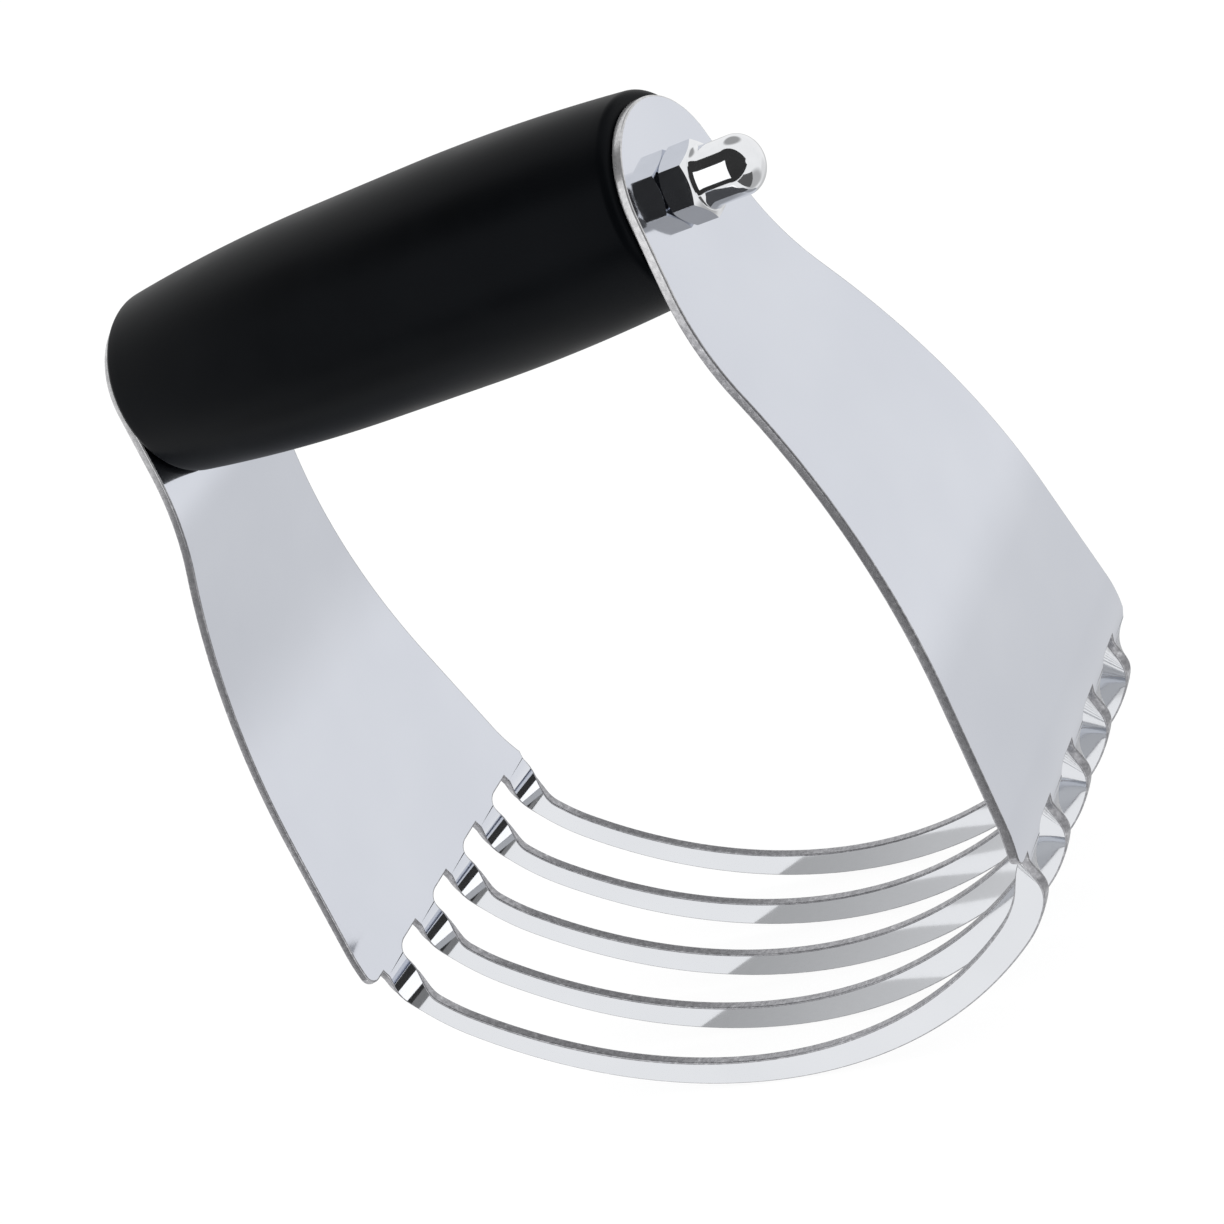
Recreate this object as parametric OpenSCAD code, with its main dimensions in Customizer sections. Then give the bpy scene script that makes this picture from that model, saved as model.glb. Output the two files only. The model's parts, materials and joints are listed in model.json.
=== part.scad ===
// Pastry blender: a barrel grip held by a tie bolt between two bowed steel side plates,
// with five twisted blades that run in a U from one plate to the other.
// Millimetres. +Z is up, X runs along the grip, Y runs across the blades.
// The origin is on the table, under the middle of the blades' cutting edges.

/* [Grip] */
// length of the grip, which is also the gap between the two plate lugs
grip_len = 100; // [80:1:120]
// diameter of the straight band at the middle of the grip
grip_mid_d = 34.3; // [28:0.1:40]
// diameter of the grip at its ends
grip_end_d = 29.9; // [24:0.1:36]
// length of the straight band
grip_band = 20; // [4:1:40]
// rounding of the two end rims
grip_rim_r = 1.5; // [0.5:0.1:4]
// diameter of the hard core inside the soft sleeve
core_d = 24; // [16:0.5:26]

/* [Side plates] */
// thickness of the steel sheet
sheet_t = 1.6; // [1:0.1:2.5]
// radius of the round lug at the top of each plate
lug_r = 13.4; // [10:0.1:16]
// straight drop of the plate below the grip axis
lug_drop = 8; // [4:0.5:15]
// radius of the bend that turns the plate outward
flare_bend_r = 46; // [30:1:80]
// angle by which the plate leans outward at its steepest
flare_angle = 21.8; // [10:0.1:30]
// radius of the long bend back to upright
side_bend_r = 132; // [90:1:180]
// length of the upright run
side_drop = 20.8; // [5:0.1:40]
// radius of the curl at the foot of the plate
curl_r = 28.9; // [20:0.1:45]
// angle of the whole curl, where the blades' long arc takes over
curl_angle = 50.9; // [35:0.1:60]
// half width of the plate's foot on its -Y side, which has a free corner
foot_near_w = 31.7; // [24:0.1:40]
// half width of the plate's foot on its +Y side, where the edge runs on into blade 1
foot_far_w = 31.3; // [24:0.1:40]
// distance from the start of the curl to the tops of the slots, along the sheet
slot_start = 7.4; // [4:0.1:12]
// length of the flat root of each blade below the slot tops, along the sheet
root_len = 1.2; // [0.5:0.1:2.5]
// radius of the rounded top corner of each slot
slot_corner_r = 3; // [1:0.1:4]
// radius of the plate's free foot corner
corner_r = 1.8; // [0.5:0.1:3]

/* [Blades] */
// number of blades
blade_count = 5; // [3:1:7]
// distance between neighbouring blades
blade_pitch = 13; // [9:0.1:16]
// height of a blade, from its inner to its cutting edge
blade_w = 4.8; // [3:0.1:8]
// width of a blade's flat root in the plate
root_w = 5.6; // [4:0.1:9]
// how far the roots sit off the plate's middle
root_shift = 0.6; // [-2:0.1:2]
// how far the blades sit off the plate's middle
blade_shift = -0.5; // [-2:0.1:2]
// how far the blades sit outside the sheet's middle surface
blade_out = 0.4; // [0:0.1:2.5]
// angle of curl over which a root turns into an upright blade
twist_span = 19.5; // [10:0.5:25]
// how soon a root gets going in its turn: 1 is even, less is sooner
twist_haste = 0.75; // [0.6:0.05:1]

/* [Fasteners] */
// nominal diameter of the tie bolt
bolt_d = 6; // [5:1:8]
// diameter of the domed bolt head
bolt_head_d = 11; // [8:0.1:13]
// height of the bolt head
bolt_head_h = 3.3; // [2:0.1:5]
// size of the socket in the bolt head, across flats
socket_af = 4; // [3:0.5:5]
// size of the cap nut, across flats
nut_af = 10; // [8:0.5:13]
// height of the nut's hexagon
nut_hex_h = 4.7; // [3:0.1:7]
// diameter of the nut's dome
nut_dome_d = 8.7; // [7:0.1:12]
// full height of the nut
nut_h = 13.6; // [9:0.1:16]
// turn of the hexagon about its own axis
nut_turn = 42; // [0:1:60]

/* [Hidden] */
$fn = 96;

steel = [0.83, 0.84, 0.86];
black = [0.07, 0.075, 0.08];
core_grey = [0.25, 0.25, 0.26];

running_gap = 0.05;        // radial clearance of the grip on the bolt and of the nut on it
plate_hole_r = bolt_d / 2 + 0.3;
half_t = sheet_t / 2;
lug_x = grip_len / 2 + half_t;  // middle surface of the right lug
outer_x = grip_len / 2 + sheet_t;

// The right plate's middle surface in the X-Z plane, measured from the grip axis.
// A point at sheet angle a on a bend is its centre plus r * [cos(a), sin(a)].
function polar(c, r, a) = c + r * [cos(a), sin(a)];

flare_c = [lug_x + flare_bend_r, -lug_drop];
flare_end = polar(flare_c, -flare_bend_r, flare_angle);
side_c = polar(flare_end, -side_bend_r, flare_angle);
side_end = polar(side_c, side_bend_r, 0);
curl_c = side_end - [curl_r, side_drop];
curl_end = polar(curl_c, curl_r, -curl_angle);

// One circle about a centre on x = 0 carries the blades from curl to curl.
arc_r = curl_end[0] / cos(curl_angle);
arc_c = [0, curl_end[1] + arc_r * sin(curl_angle)];
axis_z = arc_r - arc_c[1] + blade_out + blade_w / 2;

// sheet angles along the curl
slot_angle = slot_start / (curl_r * PI / 180);
root_angle = (slot_start + root_len) / (curl_r * PI / 180);
twist_angle = root_angle + twist_span;

// the plate's outline seen along X
slot_z = curl_c[1] - curl_r * sin(slot_angle);
root_z = slot_z - slot_corner_r - 1;  // below the plate's end, which the profile cuts

// y of the middle of root i and of blade i; blade 1 is on the +Y side
function row_y(i) = ((blade_count + 1) / 2 - i) * blade_pitch;
function root_y(i) = row_y(i) + root_shift;
function blade_y(i) = row_y(i) + blade_shift;

// A station is a point on the sheet's middle line and the sheet angle there.
function stations(c, r, a0, a1, steps) =
    [for (n = [0 : steps]) let (a = a0 + (a1 - a0) * n / steps) [polar(c, r, a), a]];

// The outline of a sheet w wide and moved outward by out, along a list of stations.
function ribbon(list, w, out = 0) = concat(
    [for (s = list) polar(s[0], out + w / 2, s[1])],
    [for (n = [len(list) - 1 : -1 : 0]) polar(list[n][0], out - w / 2, list[n][1])]
);

// Side view of the right plate: the sheet as a thick line in the X-Z plane.
module plate_profile() {
    polygon(ribbon(concat(
        [[[lug_x, 2 * lug_r], 0]],
        stations(flare_c, -flare_bend_r, 0, flare_angle, 10),
        stations(side_c, side_bend_r, flare_angle, 0, 12),
        stations(curl_c, curl_r, 0, -root_angle, 9)
    ), sheet_t));
}

// How much wider than root_w root i is on its +Y side, at distance run below the slot tops:
// the slot's rounded corner, or on blade 1 a long taper from the plate's own edge.
taper_w = foot_far_w - row_y(1) - root_shift - root_w / 2;
taper_len = 6.5;
function widening(i, run) =
    i == 1 ? taper_w * pow(max(0, 1 - run / taper_len), 2)
        : let (d = slot_corner_r - run)
          d > 0 ? slot_corner_r - sqrt(slot_corner_r * slot_corner_r - d * d) : 0;

function arc(c, r, a0, a1, steps) = [for (n = [0 : steps]) polar(c, r, a0 + (a1 - a0) * n / steps)];

// Angle at which a line from the point p touches a circle of radius r about the origin.
function touch_angle(p, r) = atan2(p[1], p[0]) + acos(r / norm(p));

// Root i, then the slot on its +Y side.
function root_edges(i) =
    let (left = root_y(i) - root_w / 2, right = left + root_w, deep = slot_z - root_z)
    concat(
        [[left, slot_z], [left, root_z]],
        i == 1 ? [for (n = [8 : -1 : 0]) [right + widening(1, deep * n / 8), slot_z - deep * n / 8]]
            : concat([[right, root_z]],
                arc([right + slot_corner_r, slot_z - slot_corner_r], slot_corner_r, 180, 90, 8))
    );

// Front view of the plate: round lug, straight flared edges, slotted foot.
module plate_outline() {
    corner_c = [corner_r - foot_near_w, slot_z + corner_r];
    near_angle = touch_angle([-corner_c[0], corner_c[1]], lug_r - corner_r);
    far_angle = touch_angle([foot_far_w, slot_z], lug_r);
    polygon(concat(
        arc([0, 0], lug_r, far_angle, 180 - near_angle, 40),
        arc(corner_c, corner_r, 180 - near_angle, 270, 8),
        [for (i = [blade_count : -1 : 1]) each root_edges(i)]
    ));
}

// The right-hand plate, in place.
module side_plate() {
    color(steel)
        translate([0, 0, axis_z])
            difference() {
                intersection() {
                    rotate([90, 0, 0])
                        linear_extrude(height = 3 * foot_near_w, center = true) plate_profile();
                    rotate([90, 0, 90])
                        linear_extrude(height = grip_len) plate_outline();
                }
                translate([grip_len / 2 - 5, 0, 0])
                    rotate([0, 90, 0]) cylinder(r = plate_hole_r, h = 5 + sheet_t + 5);
            }
}

// The upright part of a blade, from one twist to the other, as a flat ribbon on edge.
module blade_profile() {
    polygon(ribbon(concat(
        stations(curl_c, curl_r, -twist_angle, -curl_angle, 5),
        stations(arc_c, arc_r, -curl_angle - 3, -177 + curl_angle, 26),
        stations([-curl_c[0], curl_c[1]], curl_r, -180 + curl_angle, -180 + twist_angle, 5)
    ), blade_w, blade_out));
}

// One twisted root: rings of four corners, from flat in the plate to upright.
twist_steps = 16;

function ease(u) = u * u * (3 - 2 * u);

function twist_ring(i, u) =
    let (
        a = -root_angle - twist_span * u,
        turn = 90 * ease(pow(u, twist_haste)),
        out = [cos(a), 0, sin(a)],
        across = [0, -1, 0],
        wide = cos(turn) * across + sin(turn) * out,
        thick = cos(turn) * out - sin(turn) * across,
        extra = widening(i, root_len + curl_r * twist_span * u * PI / 180),
        w = root_w + (blade_w - root_w) * ease(u) + extra,
        y = root_y(i) + (blade_y(i) - root_y(i)) * ease(u),
        c = polar(curl_c, curl_r + blade_out * ease(u), a),
        mid = [c[0], y, c[1]] - wide * extra / 2
    )
    [for (k = [[-1, -1], [1, -1], [1, 1], [-1, 1]])
        mid + wide * k[0] * w / 2 + thick * k[1] * half_t];

module twist(i) {
    points = [for (n = [0 : twist_steps]) each twist_ring(i, n / twist_steps)];
    last = 4 * twist_steps;
    sides = [
        for (n = [0 : twist_steps - 1]) for (k = [0 : 3])
            let (a = 4 * n + k, b = 4 * n + (k + 1) % 4)
            each [[a, b, b + 4], [a, b + 4, a + 4]]
    ];
    polyhedron(
        points = points,
        faces = concat([[3, 2, 1, 0]], sides, [[last, last + 1, last + 2, last + 3]])
    );
}

module blade(i) {
    color(steel)
        translate([0, 0, axis_z]) {
            translate([0, blade_y(i), 0])
                rotate([90, 0, 0])
                    linear_extrude(height = sheet_t, center = true) blade_profile();
            for (side = [0, 1]) mirror([side, 0, 0]) twist(i);
        }
}

// The grip's outline: x is the radius, y runs along the grip. A straight band in the
// middle runs into a shallow barrel on each side, which ends in a rounded rim.
function grip_half() =
    let (
        drop = (grip_mid_d - grip_end_d) / 2,
        run = (grip_len - grip_band) / 2,
        barrel_r = (run * run + drop * drop) / (2 * drop),
        barrel_c = [grip_mid_d / 2 - barrel_r, grip_band / 2],
        rim_angle = asin((run - grip_rim_r) / barrel_r),
        rim_c = polar(barrel_c, barrel_r - grip_rim_r, rim_angle)
    )
    concat(
        [for (n = [0 : 10]) polar(barrel_c, barrel_r, rim_angle * n / 10)],
        [for (n = [1 : 6]) polar(rim_c, grip_rim_r, rim_angle + (90 - rim_angle) * n / 6)]
    );

module grip_profile() {
    half = grip_half();
    last = len(half) - 1;
    polygon(concat(
        [[core_d / 2, -grip_len / 2]],
        [for (n = [last : -1 : 0]) [half[n][0], -half[n][1]]],
        half,
        [[core_d / 2, grip_len / 2]]
    ));
}

// Stands a shape made about the Z axis on the grip axis, pointing along +X.
module on_grip_axis() {
    translate([0, 0, axis_z]) rotate([0, 90, 0]) children();
}

module grip_sleeve() {
    color(black)
        on_grip_axis()
            rotate_extrude() grip_profile();
}

module grip_core() {
    color(core_grey)
        on_grip_axis()
            difference() {
                cylinder(d = core_d, h = grip_len, center = true);
                cylinder(r = bolt_d / 2 + running_gap, h = grip_len + 2, center = true);
            }
}

// how far the bolt reaches into the cap nut, and the depth of the nut's hole
thread_reach = 8;
nut_hole_depth = 9;

module tie_bolt() {
    head_sphere_r = (bolt_head_h * bolt_head_h + bolt_head_d * bolt_head_d / 4) / (2 * bolt_head_h);
    color(steel)
        on_grip_axis() {
            translate([0, 0, -outer_x]) cylinder(d = bolt_d, h = 2 * outer_x + thread_reach);
            difference() {
                intersection() {
                    translate([0, 0, -outer_x - bolt_head_h + head_sphere_r]) sphere(r = head_sphere_r);
                    translate([0, 0, -outer_x - bolt_head_h]) cylinder(d = bolt_head_d, h = bolt_head_h);
                }
                translate([0, 0, -outer_x - bolt_head_h - 1])
                    cylinder(d = socket_af / cos(30), h = bolt_head_h * 0.6 + 1, $fn = 6);
            }
        }
}

module cap_nut() {
    corner_r0 = nut_af / 2 / cos(30);
    face_r = nut_af / 2 * 0.96;
    chamfer_h = (corner_r0 - face_r) * tan(30);
    dome_r = nut_dome_d / 2;
    color(steel)
        on_grip_axis()
            translate([0, 0, outer_x])
                difference() {
                    union() {
                        intersection() {
                            rotate([0, 0, nut_turn]) cylinder(r = corner_r0, h = nut_hex_h, $fn = 6);
                            rotate_extrude()
                                polygon([
                                    [0, 0], [face_r, 0], [corner_r0 + 1, chamfer_h + tan(30)],
                                    [corner_r0 + 1, nut_hex_h - chamfer_h - tan(30)],
                                    [face_r, nut_hex_h], [0, nut_hex_h]
                                ]);
                        }
                        cylinder(r = dome_r, h = nut_h - dome_r);
                        translate([0, 0, nut_h - dome_r]) sphere(r = dome_r);
                    }
                    translate([0, 0, -1]) cylinder(r = bolt_d / 2 + running_gap, h = nut_hole_depth + 1);
                }
}

mirror([1, 0, 0]) side_plate();  // side_plate_left
side_plate();  // side_plate_right
blade(1);  // blade_1
blade(2);  // blade_2
blade(3);  // blade_3
blade(4);  // blade_4
blade(5);  // blade_5
grip_sleeve();
grip_core();
tie_bolt();
cap_nut();
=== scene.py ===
"""Looks for the pastry blender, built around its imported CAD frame.

The steel stamping is rebuilt as smooth sheet metal on the CAD's own line of tangent arcs: two
slotted plates and five twisted blades. The grip, the bolt and the cap nut are turned and cut
as fine meshes. The object's lengths are in millimetres, and new_piece() scales them to metres.
The camera and the studio are in metres.
"""

import json
import math

import bmesh
import bpy
import numpy as np
from mathutils import Matrix, Vector


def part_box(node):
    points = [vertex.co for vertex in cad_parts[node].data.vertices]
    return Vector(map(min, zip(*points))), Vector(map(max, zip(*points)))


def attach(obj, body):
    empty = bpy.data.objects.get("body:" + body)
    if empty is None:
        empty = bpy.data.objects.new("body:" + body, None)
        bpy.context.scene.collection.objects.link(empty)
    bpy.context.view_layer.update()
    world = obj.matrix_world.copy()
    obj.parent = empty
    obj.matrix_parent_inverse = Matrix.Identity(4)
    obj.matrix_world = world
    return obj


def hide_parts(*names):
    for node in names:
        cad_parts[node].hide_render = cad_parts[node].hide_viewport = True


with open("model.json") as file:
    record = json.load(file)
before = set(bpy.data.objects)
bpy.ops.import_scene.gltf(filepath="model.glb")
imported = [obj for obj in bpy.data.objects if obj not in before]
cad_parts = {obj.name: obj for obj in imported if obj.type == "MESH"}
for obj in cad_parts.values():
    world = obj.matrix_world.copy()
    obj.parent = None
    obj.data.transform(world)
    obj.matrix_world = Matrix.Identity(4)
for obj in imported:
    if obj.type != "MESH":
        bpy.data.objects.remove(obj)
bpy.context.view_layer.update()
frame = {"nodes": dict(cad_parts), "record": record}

MM = 0.001

# ---------------------------------------------------------------- sizes, as in the CAD source
GRIP_LEN = 100.0
GRIP_MID_R = 34.3 / 2
GRIP_END_R = 29.9 / 2
GRIP_BAND = 20.0
GRIP_RIM_R = 1.5
CORE_R = 12.0
HALF_T = 0.8                      # half the sheet's thickness
LUG_R = 13.4
LUG_DROP = 8.0
FLARE_R, FLARE_ANGLE = 46.0, math.radians(21.8)
SIDE_R, SIDE_DROP = 132.0, 20.8
CURL_R, CURL_ANGLE = 28.9, math.radians(50.9)
FOOT_NEAR_W, FOOT_FAR_W = 31.7, 31.3
SLOT_START, ROOT_LEN = 7.4, 1.2
SLOT_CORNER_R, CORNER_R = 3.0, 1.8
BLADES, PITCH = 5, 13.0
BLADE_W, ROOT_W = 4.8, 5.6
ROOT_SHIFT, BLADE_SHIFT, BLADE_OUT = 0.6, -0.5, 0.4
TWIST_SPAN = math.radians(19.5)
HOLE_R = 3.3
BOLT_R, HEAD_R, HEAD_H, SOCKET_AF = 3.0, 5.5, 3.3, 4.0
NUT_AF, NUT_HEX_H, NUT_DOME_R, NUT_H, NUT_TURN = 10.0, 4.7, 4.35, 13.6, 42.0

LUG_X = GRIP_LEN / 2 + HALF_T
OUTER_X = GRIP_LEN / 2 + 2 * HALF_T


def polar(c, r, a):
    """Point at distance r and angle a from c."""
    return (c[0] + r * math.cos(a), c[1] + r * math.sin(a))


# The right plate's middle line in X-Z, from the grip axis down: a chain of tangent arcs.
flare_c = (LUG_X + FLARE_R, -LUG_DROP)
flare_end = polar(flare_c, -FLARE_R, FLARE_ANGLE)
side_c = polar(flare_end, -SIDE_R, FLARE_ANGLE)
side_end = polar(side_c, SIDE_R, 0.0)
curl_c = (side_end[0] - CURL_R, side_end[1] - SIDE_DROP)
curl_end = polar(curl_c, CURL_R, -CURL_ANGLE)
arc_r = curl_end[0] / math.cos(CURL_ANGLE)
arc_c = (0.0, curl_end[1] + arc_r * math.sin(CURL_ANGLE))

core_lo, core_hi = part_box("grip_core")
axis_z = (core_lo.z + core_hi.z) / 2 / MM
AXIS_Z = axis_z * MM                      # height of the grip's axis, in metres

FLARE_LEN = FLARE_R * FLARE_ANGLE
SIDE_LEN = SIDE_R * FLARE_ANGLE
CURL_START = LUG_DROP + FLARE_LEN + SIDE_LEN + SIDE_DROP
SLOT_S = CURL_START + SLOT_START          # where the slots start, along the sheet
ROOT_S = SLOT_S + ROOT_LEN                # where the plate ends and the blades start
ROOT_ANGLE = (SLOT_START + ROOT_LEN) / CURL_R


def sheet_at(s):
    """Point (x, z) and sheet angle at distance s below the grip axis, along the sheet."""
    if s <= LUG_DROP:
        return (LUG_X, -s), 0.0
    s -= LUG_DROP
    if s <= FLARE_LEN:
        return polar(flare_c, -FLARE_R, s / FLARE_R), s / FLARE_R
    s -= FLARE_LEN
    if s <= SIDE_LEN:
        a = FLARE_ANGLE - s / SIDE_R
        return polar(side_c, SIDE_R, a), a
    s -= SIDE_LEN
    if s <= SIDE_DROP:
        return (side_end[0], side_end[1] - s), 0.0
    a = -(s - SIDE_DROP) / CURL_R
    return polar(curl_c, CURL_R, a), a


SAMPLE_S = np.linspace(-2 * LUG_R, ROOT_S + 5.0, 4000)
SAMPLE_Z = np.array([sheet_at(s)[0][1] for s in SAMPLE_S])


def s_at_z(z):
    """Distance along the sheet at height z, which is the inverse of sheet_at()."""
    return float(np.interp(-z, -SAMPLE_Z, SAMPLE_S))


def row_y(i):
    """Y of the middle of blade i's row."""
    return ((BLADES + 1) / 2 - i) * PITCH


TAPER_LEN = 6.5                   # how far below the slots blade 1 is wider than the others
TAPER_W = FOOT_FAR_W - row_y(1) - ROOT_SHIFT - ROOT_W / 2


def widening(i, run):
    """How much wider than ROOT_W root i is on its +Y side, at distance run below the slots."""
    if i == 1:
        return TAPER_W * max(0.0, 1 - run / TAPER_LEN) ** 2
    d = SLOT_CORNER_R - run
    return SLOT_CORNER_R - math.sqrt(SLOT_CORNER_R ** 2 - d * d) if d > 0 else 0.0


def touch_angle(p, r):
    """Angle (degrees) at which a line from p touches a circle of radius r about the origin."""
    return math.degrees(math.atan2(p[1], p[0]) + math.acos(r / math.hypot(*p)))


# ---------------------------------------------------------------- mesh helpers
def new_piece(name, verts, faces, normals, mats, face_mats, node_names, body):
    """A mesh piece in metres, with its own corner normals, that stands for CAD nodes."""
    mesh = bpy.data.meshes.new(name)
    mesh.from_pydata([[c * MM for c in v] for v in verts], [], faces)
    mesh.update()
    for m in mats:
        mesh.materials.append(m)
    mesh.polygons.foreach_set("material_index", face_mats)
    mesh.polygons.foreach_set("use_smooth", [True] * len(mesh.polygons))
    if normals is not None:
        mesh.normals_split_custom_set(normals)
    mesh.update()
    obj = bpy.data.objects.new(name, mesh)
    bpy.context.scene.collection.objects.link(obj)
    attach(obj, body)
    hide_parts(*node_names)
    return obj


def inset_vectors(loop, fixed_edges):
    """Inward miter vector of each vertex of a counter-clockwise loop. An edge in fixed_edges
    (named by its first vertex) does not move."""
    n = len(loop)
    normals = []
    for i in range(n):
        (x0, y0), (x1, y1) = loop[i], loop[(i + 1) % n]
        length = math.hypot(x1 - x0, y1 - y0)
        normals.append(None if i in fixed_edges else (-(y1 - y0) / length, (x1 - x0) / length))
    out = []
    for i in range(n):
        a, b = normals[i - 1], normals[i]
        if a is None and b is None:
            out.append((0.0, 0.0))
        elif a is None or b is None:
            out.append(a or b)
        else:
            k = 1 + a[0] * b[0] + a[1] * b[1]
            out.append(((a[0] + b[0]) / k, (a[1] + b[1]) / k))
    return out


EDGE_R = 0.30                     # rounding of the sheet's cut edges
EDGE_STEPS = 3
LUG_STEPS, SIDE_STEPS, CORNER_STEPS, ROOT_STEPS, SLOT_STEPS, HOLE_STEPS = 72, 60, 12, 3, 10, 64
TAPER_STEPS = 4
LUG_CUT, BEND_CUT, CURL_CUT = 2.0, 1.25, 0.6      # spacing of the cuts across the flat plate
MERGE_DIST = 1e-5
BROAD = 0.99995                   # the least |normal z| of the flat slab's broad faces
CREASE = math.radians(50)         # the cut edges stay sharp where they turn by more than this


def rim_profile():
    """(inset, t) across a cut edge, from the inner face's border to the outer face's border."""
    k = EDGE_STEPS
    lower = [(EDGE_R - EDGE_R * math.sin(math.pi / 2 * j / k),
              -HALF_T + EDGE_R - EDGE_R * math.cos(math.pi / 2 * j / k)) for j in range(k + 1)]
    upper = [(inset, -t) for inset, t in reversed(lower)]
    return lower + upper


def plate_loops():
    """Outline of the right plate in sheet coordinates (s, y), counter-clockwise seen from
    outside, with the indices of the root-end edges, and the bolt hole."""
    def arc(c, r, a0, a1, steps):
        return [polar(c, r, math.radians(a0 + (a1 - a0) * n / steps)) for n in range(steps + 1)]

    def line(p, q, steps):
        return [(p[0] + (q[0] - p[0]) * n / steps, p[1] + (q[1] - p[1]) * n / steps)
                for n in range(steps + 1)]

    slot_z = curl_c[1] - CURL_R * math.sin(SLOT_START / CURL_R)
    corner = (CORNER_R - FOOT_NEAR_W, slot_z + CORNER_R)
    near_a = touch_angle((-corner[0], corner[1]), LUG_R - CORNER_R)
    far_a = touch_angle((FOOT_FAR_W, slot_z), LUG_R)
    lug = arc((0, 0), LUG_R, far_a, 180 - near_a, LUG_STEPS)
    foot = arc(corner, CORNER_R, 180 - near_a, 270, CORNER_STEPS)
    upper = lug[:-1] + line(lug[-1], foot[0], SIDE_STEPS)[:-1] + foot
    # upper is in (y, z); the loop itself is in (s, y)
    pts = [(s_at_z(z), y) for y, z in upper]
    fixed = set()
    for i in range(BLADES, 0, -1):
        left = row_y(i) + ROOT_SHIFT - ROOT_W / 2
        right = left + ROOT_W
        pts += [(SLOT_S + ROOT_LEN * k / ROOT_STEPS, left) for k in range(ROOT_STEPS)]
        fixed.add(len(pts))
        pts.append((ROOT_S, left))
        if i == 1:
            runs = [ROOT_LEN * (1 - k / TAPER_STEPS) for k in range(TAPER_STEPS + 1)]
        else:
            q_end = math.acos((SLOT_CORNER_R - ROOT_LEN) / SLOT_CORNER_R)
            turns = [q_end * (1 - k / SLOT_STEPS) for k in range(SLOT_STEPS + 1)]
            runs = [SLOT_CORNER_R * (1 - math.cos(q)) for q in turns]
        pts += [(SLOT_S + run, right + widening(i, run)) for run in runs]
    far_side = line((FOOT_FAR_W, slot_z), lug[0], SIDE_STEPS)
    pts += [(s_at_z(z), y) for y, z in far_side[1:-1]]
    hole = [polar((0, 0), HOLE_R, -2 * math.pi * k / HOLE_STEPS) for k in range(HOLE_STEPS)]
    return pts, fixed, hole


def plate_flat_mesh():
    """The plate as a flat slab in (s, y, t), cut across at many s so that it bends smoothly."""
    outer, fixed, hole = plate_loops()
    bm = bmesh.new()
    profile = rim_profile()
    borders = {0: [], len(profile) - 1: []}
    for loop, fixed_edges in ((outer, fixed), (hole, set())):
        inward = inset_vectors(loop, fixed_edges)
        rings = []
        for j, (inset, t) in enumerate(profile):
            ring = [bm.verts.new((p[0] + v[0] * inset, p[1] + v[1] * inset, t))
                    for p, v in zip(loop, inward)]
            rings.append(ring)
            if j in borders:
                borders[j].append(ring)
        n = len(loop)
        for j in range(len(profile) - 1):
            for i in range(n):
                k = (i + 1) % n
                face = bm.faces.new((rings[j][i], rings[j][k], rings[j + 1][k], rings[j + 1][i]))
                face.material_index = 1
    for j, rings in borders.items():
        edges = []
        for ring in rings:
            edges += [bm.edges.get((ring[i], ring[(i + 1) % len(ring)])) for i in range(len(ring))]
        outward = -1 if j == 0 else 1
        filled = bmesh.ops.triangle_fill(bm, edges=edges, use_beauty=True,
                                         normal=(0, 0, outward))
        for face in filled["geom"]:
            if isinstance(face, bmesh.types.BMFace):
                face.material_index = 0
                face.normal_update()
                if face.normal.z * outward < 0:
                    face.normal_flip()
    cuts = list(np.arange(-LUG_R + 1, LUG_DROP, LUG_CUT))
    cuts += list(np.arange(LUG_DROP, CURL_START, BEND_CUT))
    cuts += list(np.arange(CURL_START, ROOT_S - 0.1, CURL_CUT))
    for s in cuts:
        bmesh.ops.bisect_plane(bm, geom=bm.verts[:] + bm.edges[:] + bm.faces[:], dist=MERGE_DIST,
                               plane_co=(s, 0, 0), plane_no=(1, 0, 0))
    bmesh.ops.dissolve_degenerate(bm, dist=MERGE_DIST, edges=bm.edges[:])
    bm.normal_update()
    return bm


def corner_normals(bm):
    """Face-corner normals of the flat slab: the broad faces are exactly flat, and the cut
    edges blend into them."""
    result = []
    limit = math.cos(CREASE)
    flat = {face: abs(face.normal.z) > BROAD for face in bm.faces}
    for face in bm.faces:
        for vert in face.verts:
            if flat[face]:
                result.append((0.0, 0.0, 1.0 if face.normal.z > 0 else -1.0))
                continue
            broad = [g for g in vert.link_faces if flat[g]]
            if broad:
                result.append((0.0, 0.0, 1.0 if broad[0].normal.z > 0 else -1.0))
                continue
            total = Vector()
            for g in vert.link_faces:
                if not flat[g] and g.normal.dot(face.normal) > limit:
                    total += g.normal * g.calc_area()
            total.normalize()
            result.append(tuple(total))
    return result


def build_plate(name, side, mats, cad_node, body):
    """Bends the flat slab along the sheet's line. side is 1 on the right and -1 on the left."""
    bm = plate_flat_mesh()
    flat_normals = corner_normals(bm)
    verts, frames = [], []
    for v in bm.verts:
        (x, z), a = sheet_at(v.co.x)
        normal = (math.cos(a), math.sin(a))
        along = (math.sin(a), -math.cos(a))
        verts.append((side * (x + normal[0] * v.co.z), v.co.y, axis_z + z + normal[1] * v.co.z))
        frames.append((along, normal))
    faces, normals, face_mats = [], [], []
    bm.verts.index_update()
    cursor = 0
    for face in bm.faces:
        ids = [v.index for v in face.verts]
        local = flat_normals[cursor:cursor + len(ids)]
        cursor += len(ids)
        world = []
        for k, (ns, ny, nt) in zip(ids, local):
            along, normal = frames[k]
            world.append((side * (along[0] * ns + normal[0] * nt), ny,
                          along[1] * ns + normal[1] * nt))
        if side < 0:
            ids.reverse()
            world.reverse()
        faces.append(ids)
        normals += world
        face_mats.append(face.material_index)
    bm.free()
    return new_piece(name, verts, faces, normals, mats, face_mats, [cad_node], body)


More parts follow.
